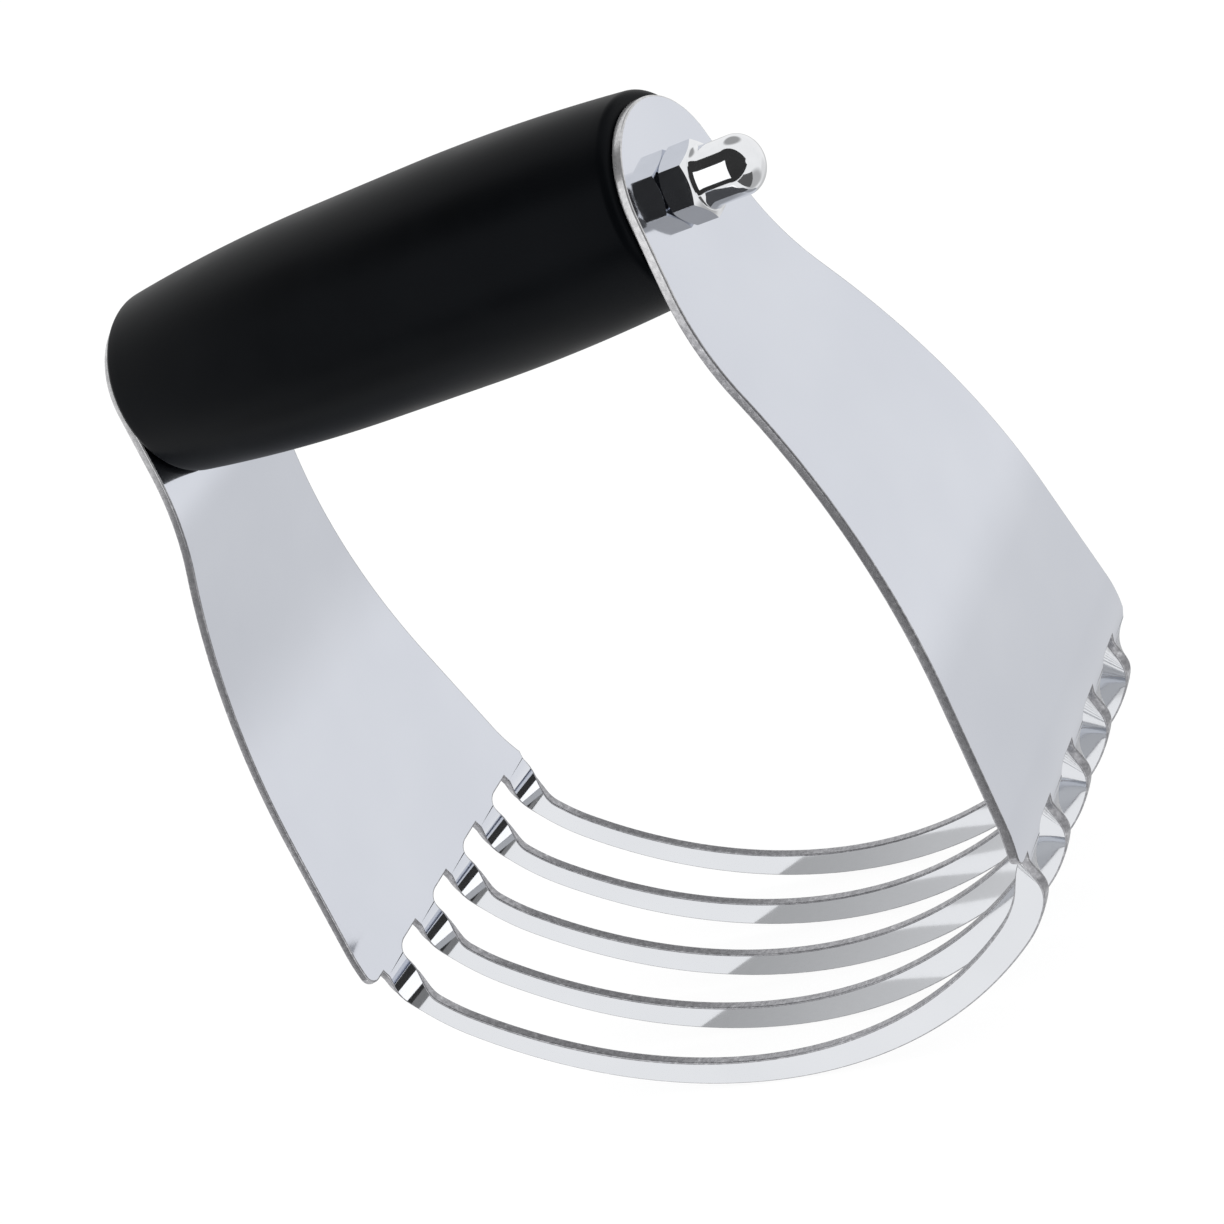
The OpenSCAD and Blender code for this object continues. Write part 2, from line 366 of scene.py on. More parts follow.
# ---------------------------------------------------------------- blades
TWIST_STEPS, CURL_STEPS, BOTTOM_STEPS = 60, 12, 40
TWIST_HASTE = 0.75                # how soon a root gets going in its turn: 1 is even


def ease(u):
    """0 to 1 with a soft start and a soft end."""
    return u * u * (3 - 2 * u)


def twist_turn(u):
    """How far the strip has turned, u of the way through its twist: quick at first."""
    return math.pi / 2 * ease(u ** TWIST_HASTE)


def twist_station(i, u):
    """Middle, wide direction, thick direction and width of blade i, u of the way through its
    right-hand twist (0 in the plate, 1 where it stands upright)."""
    a = -ROOT_ANGLE - TWIST_SPAN * u
    turn = twist_turn(u)
    out = Vector((math.cos(a), 0, math.sin(a)))
    across = Vector((0, -1, 0))
    wide = math.cos(turn) * across + math.sin(turn) * out
    thick = math.cos(turn) * out - math.sin(turn) * across
    extra = widening(i, ROOT_LEN + CURL_R * TWIST_SPAN * u)
    w = ROOT_W + (BLADE_W - ROOT_W) * ease(u) + extra
    y = row_y(i) + ROOT_SHIFT + (BLADE_SHIFT - ROOT_SHIFT) * ease(u)
    x, z = polar(curl_c, CURL_R + BLADE_OUT * ease(u), a)
    return Vector((x, y, z)) - wide * extra / 2, wide, thick, w


def blade_stations(i):
    """Stations of blade i from its left root to its right root, each as in twist_station()."""
    twist = [twist_station(i, 1 - n / TWIST_STEPS) for n in range(TWIST_STEPS + 1)]
    twist_end = -ROOT_ANGLE - TWIST_SPAN
    bottom_angle = math.pi / 2 - CURL_ANGLE
    arcs = [(arc_c, arc_r, -math.pi / 2 + bottom_angle * n / BOTTOM_STEPS)
            for n in range(1, BOTTOM_STEPS + 1)]
    arcs += [(curl_c, CURL_R, -CURL_ANGLE + (twist_end + CURL_ANGLE) * n / CURL_STEPS)
             for n in range(1, CURL_STEPS)]
    y = row_y(i) + BLADE_SHIFT
    upright = []
    for c, r, a in arcs:
        x, z = polar(c, r + BLADE_OUT, a)
        upright.append((Vector((x, y, z)), Vector((math.cos(a), 0, math.sin(a))),
                        Vector((0, 1, 0)), BLADE_W))
    right = upright + twist
    flip = Vector((-1, 1, 1))
    left = [(m * flip, w * flip, t * flip, width) for m, w, t, width in reversed(right)]
    bottom = [(Vector((0, y, arc_c[1] - arc_r - BLADE_OUT)), Vector((0, 0, -1)),
               Vector((0, 1, 0)), BLADE_W)]
    return left + bottom + right


def section(width):
    """Rounded rectangle across a blade, as (w, t, normal w, normal t), counter-clockwise from
    the corner at +w +t."""
    r, k = EDGE_R, EDGE_STEPS
    pts = []
    for cw, ct, a0 in ((1, 1, 0), (-1, 1, 90), (-1, -1, 180), (1, -1, 270)):
        for j in range(k + 1):
            a = math.radians(a0 + 90 * j / k)
            pts.append((cw * (width / 2 - r) + r * math.cos(a), ct * (HALF_T - r) + r * math.sin(a),
                        math.cos(a), math.sin(a)))
    return pts


def build_blade(i, mats, body):
    """Sweeps the rounded section along blade i."""
    stations = blade_stations(i)
    verts, vert_normals = [], []
    for mid, wide, thick, width in stations:
        for w, t, nw, nt in section(width):
            p = mid + wide * w + thick * t
            verts.append((p.x, p.y, axis_z + p.z))
            vert_normals.append(wide * nw + thick * nt)
    size = len(section(ROOT_W))
    faces, face_mats = [], []
    # the points after which one of the two broad faces follows
    broad_after = {EDGE_STEPS, 3 * (EDGE_STEPS + 1) - 1}
    for n in range(len(stations) - 1):
        for k in range(size):
            q = (k + 1) % size
            a, b = n * size, (n + 1) * size
            faces.append([a + k, a + q, b + q, b + k])
            face_mats.append(0 if k in broad_after else 1)
    normals = [tuple(vert_normals[v]) for face in faces for v in face]
    for first, order in ((0, -1), ((len(stations) - 1) * size, 1)):
        ids = [first + k for k in range(size)][::order]
        faces.append(ids)
        face_mats.append(1)
        p0, p1, p2 = (Vector(verts[ids[k]]) for k in (0, size // 3, 2 * size // 3))
        n_cap = (p1 - p0).cross(p2 - p0).normalized()
        normals += [tuple(n_cap)] * size
    return new_piece(f"blade_{i}_strip", verts, faces, normals, mats, face_mats,
                     [f"blade_{i}"], body)


# ---------------------------------------------------------------- turned parts
WELD_DIST = 1e-7                  # in metres


def around(x_of, r_of, steps):
    """A ring of points about the grip's axis. The radius depends on the angle, and x on the
    radius."""
    points = []
    for k in range(steps):
        a = 2 * math.pi * k / steps
        r = r_of(a)
        points.append((x_of(r), r * math.cos(a), axis_z + r * math.sin(a)))
    return points


def circle(x, r, steps):
    """A ring of points of one radius, at one x."""
    return around(lambda _: x, lambda _: r, steps)


def band(a, b, steps):
    """Faces between the ring of points that starts at index a and the one that starts at b."""
    return [[a + k, b + k, b + (k + 1) % steps, a + (k + 1) % steps] for k in range(steps)]


def skin(rings, steps):
    """Points and faces of a surface through rings of points."""
    verts = [point for ring in rings for point in ring]
    faces = []
    for j in range(len(rings) - 1):
        faces += band(j * steps, (j + 1) * steps, steps)
    return verts, faces


def turned_piece(name, verts, faces, mats, cad_node, body, sharp_angle, weld=False):
    """A piece of one material whose faces point outwards and whose edges stay sharp above
    sharp_angle (degrees)."""
    obj = new_piece(name, verts, faces, None, mats, [0] * len(faces), [cad_node], body)
    bm = bmesh.new()
    bm.from_mesh(obj.data)
    if weld:
        bmesh.ops.remove_doubles(bm, verts=bm.verts, dist=WELD_DIST)
    bmesh.ops.recalc_face_normals(bm, faces=bm.faces)
    bm.to_mesh(obj.data)
    bm.free()
    obj.data.set_sharp_from_angle(angle=math.radians(sharp_angle))
    return obj


GRIP_STEPS, BARREL_STEPS, RIM_STEPS = 160, 24, 10


def grip_outline():
    """(x, radius) of the sleeve's outside from one end to the other: a straight band, two
    shallow barrels and two rounded rims."""
    drop = GRIP_MID_R - GRIP_END_R
    run = (GRIP_LEN - GRIP_BAND) / 2
    barrel_r = (run * run + drop * drop) / (2 * drop)
    c = (GRIP_MID_R - barrel_r, GRIP_BAND / 2)
    rim_angle = math.asin((run - GRIP_RIM_R) / barrel_r)
    rim_c = polar(c, barrel_r - GRIP_RIM_R, rim_angle)
    half = [polar(c, barrel_r, rim_angle * n / BARREL_STEPS) for n in range(BARREL_STEPS + 1)]
    half += [polar(rim_c, GRIP_RIM_R, rim_angle + (math.pi / 2 - rim_angle) * n / RIM_STEPS)
             for n in range(1, RIM_STEPS + 1)]
    right = [(x, r) for r, x in half]
    return [(-x, r) for x, r in reversed(right)] + right


def build_grip(mats, body):
    """The sleeve, with its bore round the hard core."""
    end = GRIP_LEN / 2
    profile = [(-end, CORE_R)] + grip_outline() + [(end, CORE_R), (-end, CORE_R)]
    verts, faces = skin([circle(x, r, GRIP_STEPS) for x, r in profile], GRIP_STEPS)
    return turned_piece("grip_soft_sleeve", verts, faces, mats, "grip_sleeve", body,
                        60, weld=True)


# ---------------------------------------------------------------- materials
def material(name):
    mat = bpy.data.materials.new(name)
    mat.use_nodes = True
    nodes = mat.node_tree.nodes
    return mat, nodes, mat.node_tree.links, nodes["Principled BSDF"]


def node(nodes, kind, **values):
    """A new node. A value whose name starts with _ is a property, and any other is a socket."""
    made = nodes.new(kind)
    for key, value in values.items():
        if key.startswith("_"):
            setattr(made, key[1:], value)
        else:
            made.inputs[key.replace("_", " ")].default_value = value
    return made


def object_coords(nodes):
    return node(nodes, "ShaderNodeTexCoord").outputs["Object"]


def noise(nodes, links, coords, **values):
    made = node(nodes, "ShaderNodeTexNoise", **values)
    links.new(coords, made.inputs["Vector"])
    return made.outputs["Fac"]


def grey(value):
    return (value, value, value, 1)


def ramp(nodes, links, source, stops):
    """The colour that a colour ramp with these stops makes of a value."""
    made = nodes.new("ShaderNodeValToRGB")
    elements = made.color_ramp.elements
    stops = list(stops)
    while len(elements) < len(stops):
        elements.new(0.5)
    for element, (pos, color) in zip(elements, stops):
        element.position = pos
        element.color = color
    links.new(source, made.inputs["Fac"])
    return made.outputs["Color"]


# sockets of a Mix node for colours, which share their names with other sockets
MIX_FACTOR, MIX_A, MIX_B, MIX_RESULT = 0, 6, 7, 2


def mix_color(nodes, links, factor, a, b):
    made = node(nodes, "ShaderNodeMix", _data_type="RGBA")
    links.new(factor, made.inputs[MIX_FACTOR])
    links.new(a, made.inputs[MIX_A])
    links.new(b, made.inputs[MIX_B])
    return made.outputs[MIX_RESULT]


def height_share(nodes, links, coords, low, high):
    """0 below the height low and 1 above the height high, in metres, with a smooth step."""
    split = node(nodes, "ShaderNodeSeparateXYZ")
    links.new(coords, split.inputs["Vector"])
    share = node(nodes, "ShaderNodeMapRange", _interpolation_type="SMOOTHSTEP",
                 From_Min=low, From_Max=high)
    links.new(split.outputs["Z"], share.inputs["Value"])
    return share.outputs["Result"]


def bump(nodes, links, height, strength, distance):
    made = node(nodes, "ShaderNodeBump", Strength=strength, Distance=distance)
    links.new(height, made.inputs["Height"])
    return made.outputs["Normal"]


PLATE_TINTS = (0.640, 0.662, 0.720, 1), (0.668, 0.690, 0.746, 1)
# The blades' tints are lighter than the plates', though both are one sheet: painted light, for the
# brighter light that the blades' faces catch.
BLADE_LIGHTENED_TINTS = (0.745, 0.76, 0.79, 1), (0.775, 0.79, 0.82, 1)


def polished_steel(name, tints, tints_above=None, height=0.0, fade=0.003):
    """Rolled and buffed stainless: a near mirror with a faint grain along the sheet. Above a
    height, the other pair of tints takes over."""
    mat, nodes, links, bsdf = material(name)
    coords = object_coords(nodes)
    stretch = node(nodes, "ShaderNodeMapping", Scale=(900.0, 900.0, 60.0))
    links.new(coords, stretch.inputs["Vector"])
    grain = noise(nodes, links, stretch.outputs["Vector"], Scale=1.0, Detail=4.0, Roughness=0.6)
    cloud = noise(nodes, links, coords, Scale=45.0, Detail=2.0, Roughness=0.5)
    tint = ramp(nodes, links, cloud, zip((0.3, 0.7), tints))
    if tints_above:
        above = ramp(nodes, links, cloud, zip((0.3, 0.7), tints_above))
        share = height_share(nodes, links, coords, height - fade, height)
        tint = mix_color(nodes, links, share, tint, above)
    rough = ramp(nodes, links, grain, [(0.25, grey(0.055)), (0.8, grey(0.10))])
    links.new(tint, bsdf.inputs["Base Color"])
    links.new(rough, bsdf.inputs["Roughness"])
    links.new(bump(nodes, links, grain, 0.02, 0.0001), bsdf.inputs["Normal"])
    bsdf.inputs["Metallic"].default_value = 1.0
    return mat


def cut_edge_steel():
    """The sheet's sheared and tumbled edges: grey and speckled. Near the lugs their colour is
    lighter above a height, which is a painted highlight.
    """
    mat, nodes, links, bsdf = material("cut_edge_steel")
    coords = object_coords(nodes)
    speck = noise(nodes, links, coords, Scale=1400.0, Detail=3.0, Roughness=0.65)
    lug_foot, lug_middle = AXIS_Z - 0.018, AXIS_Z - 0.002
    # A painted highlight: the edges' colour turns lighter from the lug's foot up to its middle, and
    # stays lighter above.
    painted_lug_highlight = height_share(nodes, links, coords, lug_foot, lug_middle)
    dull = ramp(nodes, links, speck, [(0.35, (0.26, 0.26, 0.275, 1)), (0.62, (0.42, 0.42, 0.44, 1)),
                                      (0.78, (0.70, 0.70, 0.72, 1))])
    bright = ramp(nodes, links, speck, [(0.3, (0.48, 0.48, 0.49, 1)), (0.7, (0.66, 0.66, 0.67, 1))])
    tint = mix_color(nodes, links, painted_lug_highlight, dull, bright)
    rough = ramp(nodes, links, speck, [(0.3, grey(0.28)), (0.75, grey(0.14))])
    links.new(tint, bsdf.inputs["Base Color"])
    links.new(rough, bsdf.inputs["Roughness"])
    links.new(bump(nodes, links, speck, 0.12, 0.0001), bsdf.inputs["Normal"])
    bsdf.inputs["Metallic"].default_value = 0.68
    return mat


def chrome():
    """Bright plating of the cap nut and the bolt's head."""
    mat, nodes, links, bsdf = material("nut_chrome")
    haze = noise(nodes, links, object_coords(nodes), Scale=700.0, Detail=2.0, Roughness=0.5)
    tint = ramp(nodes, links, haze, [(0.2, (0.78, 0.79, 0.81, 1)), (0.9, (0.83, 0.84, 0.86, 1))])
    rough = ramp(nodes, links, haze, [(0.3, grey(0.04)), (0.8, grey(0.08))])
    links.new(tint, bsdf.inputs["Base Color"])
    links.new(rough, bsdf.inputs["Roughness"])
    bsdf.inputs["Metallic"].default_value = 1.0
    return mat


def soft_rubber():
    """Black soft-touch rubber: a fine moulded texture with a dull, slightly blue sheen."""
    mat, nodes, links, bsdf = material("soft_rubber")
    coords = object_coords(nodes)
    fine = noise(nodes, links, coords, Scale=2600.0, Detail=2.0, Roughness=0.6)
    broad = noise(nodes, links, coords, Scale=60.0, Detail=3.0, Roughness=0.55)
    tint = ramp(nodes, links, broad, [(0.3, (0.0016, 0.0020, 0.0026, 1)),
                                      (0.75, (0.0028, 0.0034, 0.0042, 1))])
    rough = ramp(nodes, links, broad, [(0.3, grey(0.34)), (0.75, grey(0.42))])
    links.new(tint, bsdf.inputs["Base Color"])
    links.new(rough, bsdf.inputs["Roughness"])
    links.new(bump(nodes, links, fine, 0.10, 0.00006), bsdf.inputs["Normal"])
    bsdf.inputs["Specular IOR Level"].default_value = 0.055
    bsdf.inputs["Specular Tint"].default_value = (0.86, 0.90, 1.0, 1)
    return mat


def hard_plastic():
    """The grip's hidden core."""
    mat, nodes, links, bsdf = material("core_plastic")
    fine = noise(nodes, links, object_coords(nodes), Scale=900.0, Detail=2.0)
    tint = ramp(nodes, links, fine, [(0.3, (0.03, 0.03, 0.032, 1)), (0.7, (0.04, 0.04, 0.043, 1))])
    links.new(tint, bsdf.inputs["Base Color"])
    bsdf.inputs["Roughness"].default_value = 0.5
    return mat


root_z = (axis_z + curl_c[1] - CURL_R * math.sin(ROOT_ANGLE)) * MM
steel = polished_steel("polished_steel", PLATE_TINTS)
# The blades' steel is a lighter copy of the plates' steel, which is painted light; above root_z it
# takes the plates' tints again.
lightened_blade_steel = polished_steel("polished_blade_steel", BLADE_LIGHTENED_TINTS, PLATE_TINTS, root_z)
edge_steel = cut_edge_steel()
nut_chrome = chrome()
rubber = soft_rubber()
core_plastic = hard_plastic()


def dress(cad_node, mat):
    """Gives a CAD part that nothing replaces its material."""
    obj = frame["nodes"][cad_node]
    obj.data.materials.clear()
    obj.data.materials.append(mat)


# ---------------------------------------------------------------- cap nut and bolt
SIXTH = math.pi / 3               # a hexagon's turn from one flat to the next
NUT_STEPS, FILLET_STEPS, NECK_STEPS, CROWN_STEPS = 288, 8, 4, 32
NUT_CORNER_R = 0.16               # rounding of the hexagon's corners
NUT_FACE_R = NUT_AF / 2 * 0.96    # where the chamfers at the hexagon's two ends begin
CHAMFER = math.tan(math.pi / 6)
FILLET_LEN = 1.3                  # an oval fillet below the dome
FILLET_W = NUT_FACE_R - NUT_DOME_R - 0.02
CROWN_LEN = 3.6                   # the dome is a little flatter than a ball
BORE_R, BORE_DEPTH = BOLT_R + 0.05, 9.0


def nut_radius(a):
    """Radius of the hexagon with rounded corners, at angle a from +Y towards +Z."""
    flat_r = NUT_AF / 2
    rounding_at = (flat_r - NUT_CORNER_R) / math.cos(math.pi / 6)
    # NUT_TURN counts from -Z, because the CAD turns the hexagon before it lies along X
    turned = math.atan2(math.cos(a), -math.sin(a)) - math.radians(NUT_TURN)
    off_flat = turned % SIXTH - SIXTH / 2
    off_corner = SIXTH / 2 - abs(off_flat)
    on_flat = flat_r / math.cos(off_flat)
    square = NUT_CORNER_R ** 2 - (rounding_at * math.sin(off_corner)) ** 2
    if square <= 0:
        return on_flat
    return min(on_flat, rounding_at * math.cos(off_corner) + math.sqrt(square))


def build_nut(mats, body):
    """Chamfered hexagon with a round face towards the dome, and a tall dome."""
    foot_x = OUTER_X
    top_x = foot_x + NUT_HEX_H
    neck_x = top_x + FILLET_LEN
    tip_x = foot_x + NUT_H
    crown_x = tip_x - CROWN_LEN
    dome = []                         # x and radius, from the fillet to just before the tip
    for j in range(FILLET_STEPS + 1):
        q = math.pi / 2 * j / FILLET_STEPS
        dome.append((top_x + FILLET_LEN * (1 - math.cos(q)),
                     NUT_DOME_R + FILLET_W * (1 - math.sin(q))))
    dome += [(neck_x + (crown_x - neck_x) * j / NECK_STEPS, NUT_DOME_R)
             for j in range(1, NECK_STEPS + 1)]
    for j in range(1, CROWN_STEPS):
        q = math.pi / 2 * j / CROWN_STEPS
        dome.append((crown_x + CROWN_LEN * math.sin(q), NUT_DOME_R * math.cos(q)))
    rings = [circle(foot_x, BORE_R, NUT_STEPS), circle(foot_x, NUT_FACE_R, NUT_STEPS)]
    rings.append(around(lambda r: foot_x + CHAMFER * (r - NUT_FACE_R), nut_radius, NUT_STEPS))
    rings.append(around(lambda r: top_x - CHAMFER * (r - NUT_FACE_R), nut_radius, NUT_STEPS))
    rings.append(circle(top_x, NUT_FACE_R, NUT_STEPS))
    rings += [circle(x, r, NUT_STEPS) for x, r in dome]
    verts, faces = skin(rings, NUT_STEPS)
    tip = len(verts)
    last = tip - NUT_STEPS
    verts.append((tip_x, 0.0, axis_z))
    faces += [[last + k, tip, last + (k + 1) % NUT_STEPS] for k in range(NUT_STEPS)]
    # the blind hole for the bolt
    bottom = len(verts)
    verts += circle(foot_x + BORE_DEPTH, BORE_R, NUT_STEPS)
    faces += band(bottom, 0, NUT_STEPS)
    faces.append(list(range(bottom, bottom + NUT_STEPS)))
    return turned_piece("cap_nut_polished", verts, faces, mats, "cap_nut", body, 14)


BOLT_STEPS, HEAD_STEPS = 96, 12
SOCKET_DEPTH, SOCKET_BEVEL = HEAD_H * 0.4, 0.1
HEAD_RIM = 0.25                   # the width of the rounded rim round the head's dome
RIM_ROUNDING = ((0.15, 0.04), (0.32, 0.0))        # X past the dome, and radius short of HEAD_R
SHANK_END = OUTER_X + 8.0
PIN_R = 0.02                      # the small ring in the middle of a flat end


def socket_radius(a):
    """Radius of the hexagon socket, at angle a from +Y towards +Z."""
    off_flat = (a + math.pi / 2) % SIXTH - SIXTH / 2
    return SOCKET_AF / 2 / math.cos(off_flat)


def build_bolt(mats, body):
    """Domed head with a hexagon socket on the left, and the shank through the grip."""
    ball_r = (HEAD_H ** 2 + HEAD_R ** 2) / (2 * HEAD_H)
    face_x = -OUTER_X
    ball_x = face_x - HEAD_H + ball_r
    floor_x = face_x - SOCKET_DEPTH
    dome_r = HEAD_R - HEAD_RIM

    def on_ball(r):
        return ball_x - math.sqrt(ball_r ** 2 - r * r)

    def between(f):
        """The radius f of the way from the socket's mouth to the rim."""
        return lambda a: (socket_radius(a) + SOCKET_BEVEL) * (1 - f) + dome_r * f

    rim_x = on_ball(dome_r)
    outside = [(rim_x + past, HEAD_R - short) for past, short in RIM_ROUNDING]
    outside += [(face_x, HEAD_R), (face_x, BOLT_R), (SHANK_END, BOLT_R), (SHANK_END, PIN_R)]
    rings = [circle(floor_x, PIN_R, BOLT_STEPS)]
    rings.append(around(lambda r: floor_x, socket_radius, BOLT_STEPS))
    rings.append(around(lambda r: on_ball(r) + SOCKET_BEVEL, socket_radius, BOLT_STEPS))
    rings += [around(on_ball, between(j / HEAD_STEPS), BOLT_STEPS) for j in range(HEAD_STEPS + 1)]
    rings += [circle(x, r, BOLT_STEPS) for x, r in outside]
    verts, faces = skin(rings, BOLT_STEPS)
    last = len(verts) - BOLT_STEPS
    faces += [list(range(BOLT_STEPS)), list(range(last, last + BOLT_STEPS))]
    return turned_piece("tie_bolt_polished", verts, faces, mats, "tie_bolt", body, 25)


# ---------------------------------------------------------------- the object
bodies = frame["record"]["behaviour"]["bodies"]
BODY_OF = {n: body for body, members in bodies.items() for n in members}

for hand, side in (("left", -1), ("right", 1)):
    plate = f"side_plate_{hand}"
    build_plate(f"{plate}_sheet", side, [steel, edge_steel], plate, BODY_OF[plate])
for number in range(1, BLADES + 1):
    build_blade(number, [lightened_blade_steel, edge_steel], BODY_OF[f"blade_{number}"])
build_grip([rubber], BODY_OF["grip_sleeve"])
dress("grip_core", core_plastic)
build_nut([nut_chrome], BODY_OF["cap_nut"])
build_bolt([nut_chrome], BODY_OF["tie_bolt"])


# ---------------------------------------------------------------- camera
AXIS = Vector((0.0, 0.0, AXIS_Z))
CAMERA_AT = AXIS + Vector((0.24952, -0.30665, 0.10500))
CAMERA_AIM = AXIS + Vector((0.00018, 0.0, -0.06179))
CAMERA_ROLL = math.radians(-32.88)        # the camera's right-hand side dips
camera_data = bpy.data.cameras.new("camera")
camera_data.sensor_width = 36.0
camera_data.lens = 79.566
camera_data.clip_start = 0.01
camera_data.clip_end = 50.0
camera = bpy.data.objects.new("camera", camera_data)
bpy.context.scene.collection.objects.link(camera)
forward = (CAMERA_AIM - CAMERA_AT).normalized()
level = forward.to_track_quat("-Z", "Y").to_matrix().to_4x4()
camera.matrix_world = (Matrix.Translation(CAMERA_AT) @ level
                       @ Matrix.Rotation(CAMERA_ROLL, 4, "Z"))
bpy.context.scene.camera = camera


# ---------------------------------------------------------------- floor, world and light
FLOOR_HALF, FLOOR_Z = 4.0, -0.0002
BOARD_Z, FLAG_Z = 0.001, 0.002    # the foot of a board, and cloth on the floor
CLOTH_MOTTLE = 1.4                # how much lighter a card's light patches are


def stage_piece(name, mesh, mat, unseen_by):
    """A piece of the studio, which these kinds of ray pass through."""
    mesh.materials.append(mat)
    obj = bpy.data.objects.new(name, mesh)
    bpy.context.scene.collection.objects.link(obj)
    for ray in unseen_by:
        setattr(obj, f"visible_{ray}", False)


def build_floor():
    """A plain pale floor with a glow of its own, so that the shadows on it stay faint."""
    mesh = bpy.data.meshes.new("floor")
    corners = ((-1, -1), (1, -1), (1, 1), (-1, 1))
    mesh.from_pydata([(x * FLOOR_HALF, y * FLOOR_HALF, FLOOR_Z) for x, y in corners], [],
                     [(0, 1, 2, 3)])
    mat, nodes, links, bsdf = material("pale_floor")
    mottle = noise(nodes, links, object_coords(nodes), Scale=3.0, Detail=2.0)
    tint = ramp(nodes, links, mottle, [(0.0, grey(0.145)), (1.0, grey(0.155))])
    links.new(tint, bsdf.inputs["Base Color"])
    bsdf.inputs["Roughness"].default_value = 0.9
    bsdf.inputs["Specular IOR Level"].default_value = 0.0
    bsdf.inputs["Emission Color"].default_value = grey(1)
    bsdf.inputs["Emission Strength"].default_value = 0.90
    stage_piece("floor", mesh, mat, ["glossy"])


# Darker regions of the studio: the direction of the middle, the cosines of the angles from it
# at which the region starts and is darkest, and the share of the light that it takes away
DARK_REGIONS = (
    ((0.05, 0.63, 0.78), 0.88, 0.955, 0.62),
    ((-0.54, 0.675, -0.50), 0.72, 0.92, 0.40),
    ((0.50, 0.10, -0.86), 0.80, 0.94, 0.50),
    ((0.28, 0.735, -0.62), 0.93, 0.985, 0.175),
)


def build_world():
    """A pale studio with darker regions: one high behind the object and three low down."""
    world = bpy.data.worlds.new("studio")
    bpy.context.scene.world = world
    world.use_nodes = True
    nodes, links = world.node_tree.nodes, world.node_tree.links
    back = nodes["Background"]
    coords = node(nodes, "ShaderNodeTexCoord")
    shade = None
    for direction, start, darkest, taken in DARK_REGIONS:
        dot = node(nodes, "ShaderNodeVectorMath", _operation="DOT_PRODUCT")
        links.new(coords.outputs["Generated"], dot.inputs[0])
        dot.inputs[1].default_value = Vector(direction).normalized()
        lobe = node(nodes, "ShaderNodeMapRange", _interpolation_type="SMOOTHSTEP",
                    From_Min=start, From_Max=darkest, To_Min=1.0, To_Max=1.0 - taken)
        links.new(dot.outputs["Value"], lobe.inputs["Value"])
        if shade is None:
            shade = lobe.outputs["Result"]
        else:
            both = node(nodes, "ShaderNodeMath", _operation="MULTIPLY")
            links.new(shade, both.inputs[0])
            links.new(lobe.outputs["Result"], both.inputs[1])
            shade = both.outputs["Value"]
    scale = node(nodes, "ShaderNodeVectorMath", _operation="SCALE")
    scale.inputs[0].default_value = (1.0, 1.0, 1.0)
    links.new(shade, scale.inputs["Scale"])
    links.new(scale.outputs["Vector"], back.inputs["Color"])
    back.inputs["Strength"].default_value = 1.0


def card(name, corners, shade, glow=0.0, glow_right=None):
    """A studio card that only mirrors see: dark cloth, or a softbox if it glows. The corners
    are pairs of points, one pair after another along the card. The glow can change towards
    the card's +X end."""
    mesh = bpy.data.meshes.new(name)
    points = [p for pair in corners for p in pair]
    mesh.from_pydata(points, [], [(2 * k, 2 * k + 2, 2 * k + 3, 2 * k + 1)
                                  for k in range(len(corners) - 1)])
    mat, nodes, links, bsdf = material(name)
    cloth = node(nodes, "ShaderNodeTexNoise", Scale=40.0).outputs["Fac"]
    tint = ramp(nodes, links, cloth, [(0.3, grey(shade)), (0.7, grey(shade * CLOTH_MOTTLE))])
    links.new(tint, bsdf.inputs["Base Color"])
    bsdf.inputs["Roughness"].default_value = 1.0
    bsdf.inputs["Specular IOR Level"].default_value = 0.0
    bsdf.inputs["Emission Color"].default_value = grey(1)
    bsdf.inputs["Emission Strength"].default_value = glow
    if glow_right is not None:
        coords = node(nodes, "ShaderNodeTexCoord")
        split = node(nodes, "ShaderNodeSeparateXYZ")
        links.new(coords.outputs["Generated"], split.inputs["Vector"])
        change = node(nodes, "ShaderNodeMapRange", _interpolation_type="SMOOTHSTEP",
                      To_Min=glow, To_Max=glow_right)
        links.new(split.outputs["X"], change.inputs["Value"])
        links.new(change.outputs["Result"], bsdf.inputs["Emission Strength"])
    stage_piece(name, mesh, mat, ["camera", "diffuse", "shadow"])


ARC_STEPS = 16


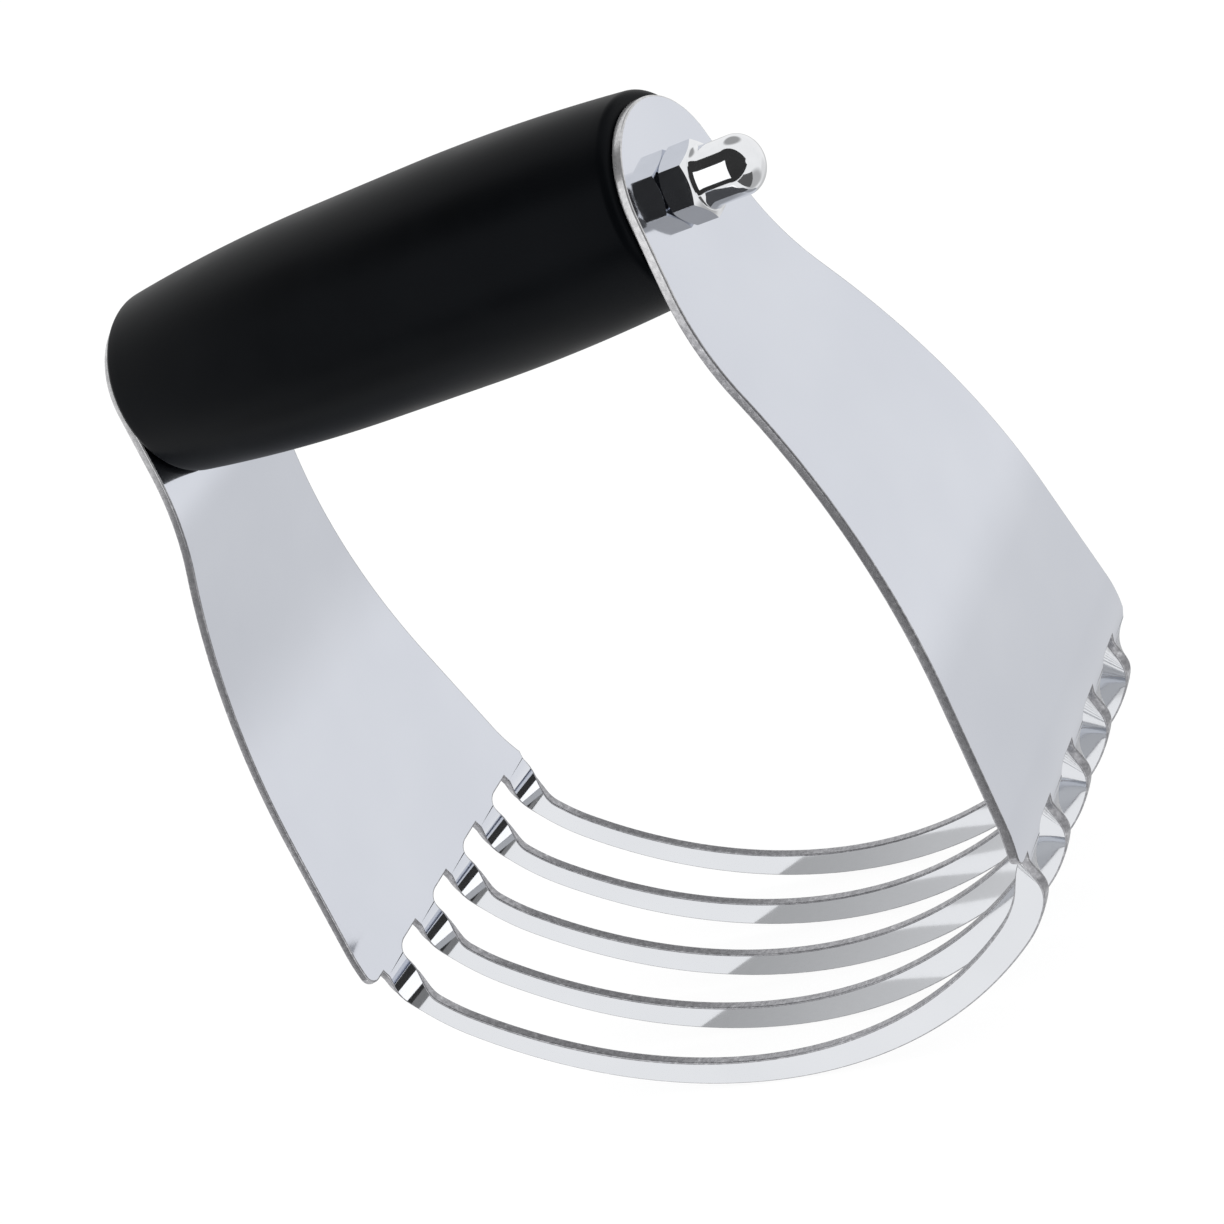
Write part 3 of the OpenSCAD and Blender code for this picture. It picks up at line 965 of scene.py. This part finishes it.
def arc_card(name, radius, low, high, x0, x1, shade, glow):
    """A card bent round the grip's axis, from angle low to high (degrees) above the -Y side."""
    angles = [math.radians(low + (high - low) * k / ARC_STEPS) for k in range(ARC_STEPS + 1)]
    rows = [(-radius * math.cos(q), AXIS.z + radius * math.sin(q)) for q in angles]
    card(name, [((x0, y, z), (x1, y, z)) for y, z in rows], shade, glow)


def low_board(name, y, x0, x1, top, shade, glow):
    """An upright board that stands on the floor."""
    card(name, [((x0, y, BOARD_Z), (x1, y, BOARD_Z)), ((x0, y, top), (x1, y, top))], shade, glow)


def floor_flag(name, x0, x1, y0, y1, shade):
    """Cloth laid flat on the floor."""
    rows = [((x0, y, FLAG_Z), (x1, y, FLAG_Z)) for y in (y0, y1)]
    card(name, rows, shade, glow=0.75 * shade)


# The strip below the floor that shades a blade, in millimetres: x, and how far it reaches from
# the blade's face
SHADE_OUTLINE = ((-33.4, 4.0), (-24.0, 13.2), (10.0, 12.7), (19.0, 11.5), (30.0, 9.5), (40.0, 6.0))
SHADE_GAP, SHADE_Z = 4.0, -4.0


def build_blade_shades():
    """A grey strip in front of each of blades 1 to 4, as their own soft shade on the table
    would be. Only their faces show it."""
    for i in range(1, BLADES):
        y = row_y(i) + BLADE_SHIFT - HALF_T
        pairs = [((x * MM, (y - SHADE_GAP) * MM, SHADE_Z * MM),
                  (x * MM, (y - reach) * MM, SHADE_Z * MM)) for x, reach in SHADE_OUTLINE]
        card(f"blade_shade_{i}", pairs, shade=0.08, glow=0.36, glow_right=0.62)


build_floor()
build_world()
arc_card("dark_hood", radius=0.46, low=-30, high=91, x0=-0.45, x1=3.00, shade=0.02, glow=0.012)
arc_card("softbox", radius=0.22, low=-13, high=50, x0=-0.15, x1=0.03, shade=0.3, glow=1.0)
low_board("low_bounce", y=-0.09, x0=-0.06, x1=0.02, top=0.06, shade=0.3, glow=1.0)
floor_flag("floor_flag_left", x0=-0.20, x1=-0.03, y0=-0.145, y1=-0.078, shade=0.12)
floor_flag("floor_flag_right", x0=0.085, x1=0.30, y0=-0.21, y1=-0.005, shade=0.06)
build_blade_shades()
bpy.context.scene.view_settings.view_transform = "Standard"
